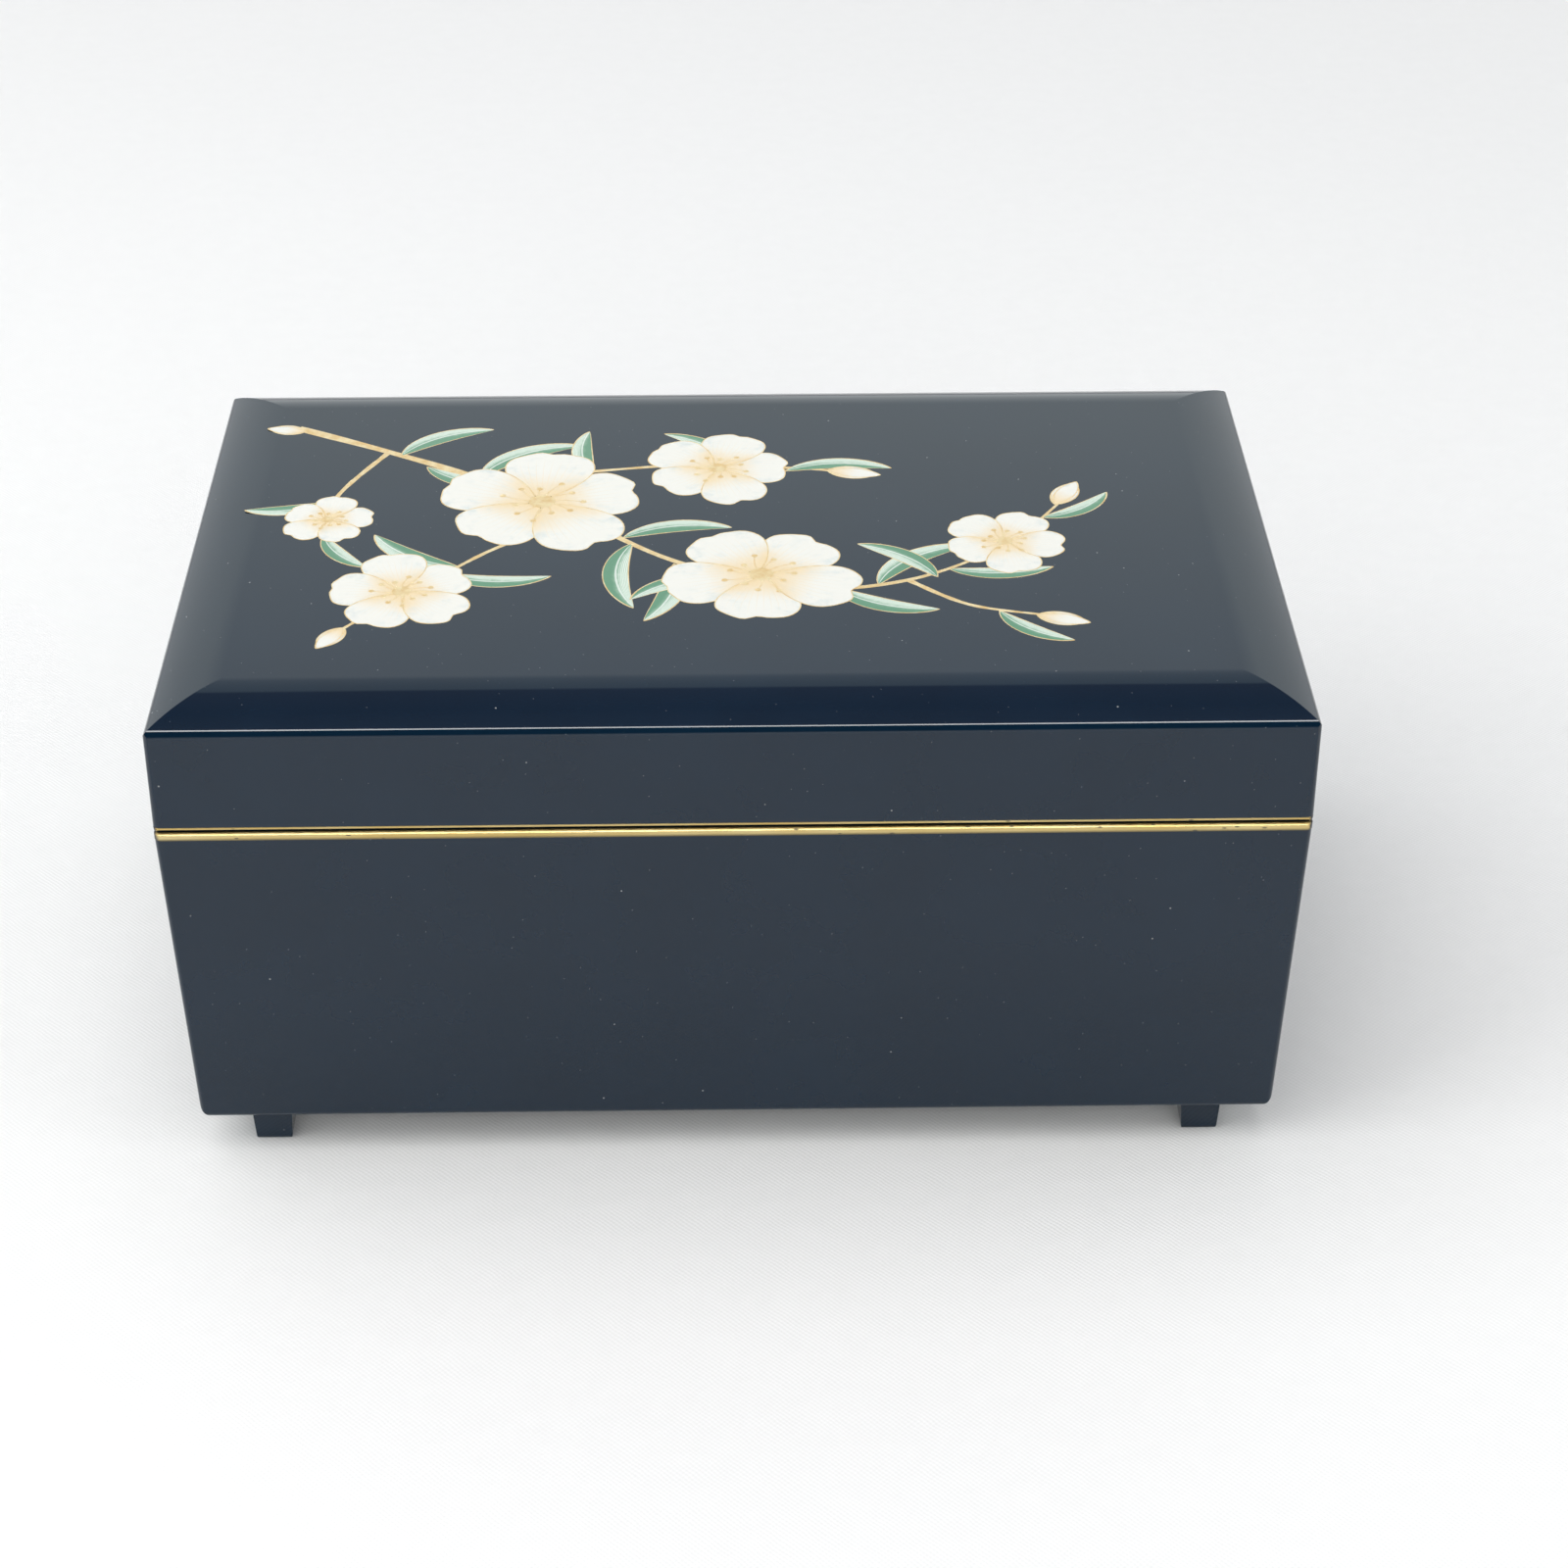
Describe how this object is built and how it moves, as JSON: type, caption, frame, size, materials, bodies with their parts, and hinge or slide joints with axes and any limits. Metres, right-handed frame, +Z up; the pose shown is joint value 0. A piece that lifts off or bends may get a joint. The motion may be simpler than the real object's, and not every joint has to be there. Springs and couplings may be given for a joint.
{
  "type": "musical jewelry box",
  "caption": "Low lacquered box with a crowned hinged lid, gilt lines and short feet; mirror in the lid, lined jewel bay, and a wind-up comb music movement under a clear cover.",
  "frame": {"origin": "on the table under the middle of the box", "axes": "+X to the right seen from the front, -Y to the front, +Z up"},
  "size_m": [0.152, 0.0984, 0.072],
  "materials": {
    "lacquer": "black piano lacquer with a deep gloss",
    "gilt": "thin gilt strip, slightly worn",
    "brass": "lacquered brass",
    "steel": "ground steel",
    "plate": "die-cast zinc",
    "velvet": "short-pile wine-red velvet",
    "clear": "clear sheet",
    "mirror": "silvered glass",
    "card": "grey backing card"
  },
  "bodies": {
    "case": {"body_shell": "lacquer", "body_trim": "gilt", "feet": "lacquer", "hinge_leaf_body_left": "brass", "hinge_leaf_body_right": "brass", "hinge_pins": "brass", "hinge_screws_body": "brass", "partition": "velvet", "bay_lining": "velvet", "floor_pad": "velvet", "ring_divider": "velvet", "ring_roll_base": "velvet", "ring_rolls": "velvet", "movement_cover": "clear", "bedplate": "plate", "cylinder_bearing_left": "brass", "cylinder_bearing_right": "brass", "comb": "steel", "comb_screws": "steel", "governor_bracket": "brass", "frame_screws": "steel", "click_spring": "steel", "movement_screws": "steel", "stop_spring": "steel"},
    "lid": {"lid_shell": "lacquer", "lid_trim": "gilt", "mirror_card": "card", "mirror": "mirror", "lid_lining": "velvet", "hinge_leaf_lid_left": "brass", "hinge_leaf_lid_right": "brass", "hinge_screws_lid": "brass"},
    "winder": {"winding_key": "brass", "winding_arbor": "steel"},
    "barrel": {"spring_barrel": "brass", "barrel_cap": "brass", "mainspring": "steel"},
    "cylinder": {"music_cylinder": "brass", "tune_pins": "steel", "cylinder_arbor": "steel", "cylinder_gear": "brass"},
    "governor": {"governor_arbor": "steel", "worm_wheel": "brass"},
    "fan": {"fan_arbor": "steel", "fan_blades": "brass"},
    "stop": {"stop_rod": "steel"}
  },
  "joints": [
    {"name": "lid_hinge", "type": "hinge", "parent": "case", "child": "lid", "pos_m": [0, 0.04655, 0.05415], "axis": [-1, 0, 0], "range_deg": [0, 100]},
    {"name": "key_turn", "type": "hinge", "parent": "case", "child": "winder", "pos_m": [-0.0551, 0.013, 0.012], "axis": [0, 0, 1], "continuous": true},
    {"name": "barrel_spin", "type": "hinge", "parent": "case", "child": "barrel", "pos_m": [-0.0551, 0.013, 0.022], "axis": [0, 0, 1], "continuous": true},
    {"name": "cylinder_spin", "type": "hinge", "parent": "case", "child": "cylinder", "pos_m": [-0.0304, 0.013, 0.03133], "axis": [1, 0, 0], "continuous": true},
    {"name": "governor_spin", "type": "hinge", "parent": "case", "child": "governor", "pos_m": [-0.018, 0.023, 0.03133], "axis": [1, 0, 0], "continuous": true},
    {"name": "fan_spin", "type": "hinge", "parent": "case", "child": "fan", "pos_m": [-0.0161, 0.0277, 0.03133], "axis": [0, 0, 1], "continuous": true},
    {"name": "stop_slide", "type": "slide", "parent": "case", "child": "stop", "axis": [0, 0, 1], "range_m": [0, 0.0015], "deforming": ["stop_spring"]}
  ],
  "couplings": [
    {"joint": "cylinder_spin", "follows": "barrel_spin", "ratio": 3},
    {"joint": "governor_spin", "follows": "barrel_spin", "ratio": -12},
    {"joint": "fan_spin", "follows": "barrel_spin", "ratio": 240},
    {"joint": "stop_slide", "follows": "lid_hinge", "m_per_rad": 0.000859}
  ]
}
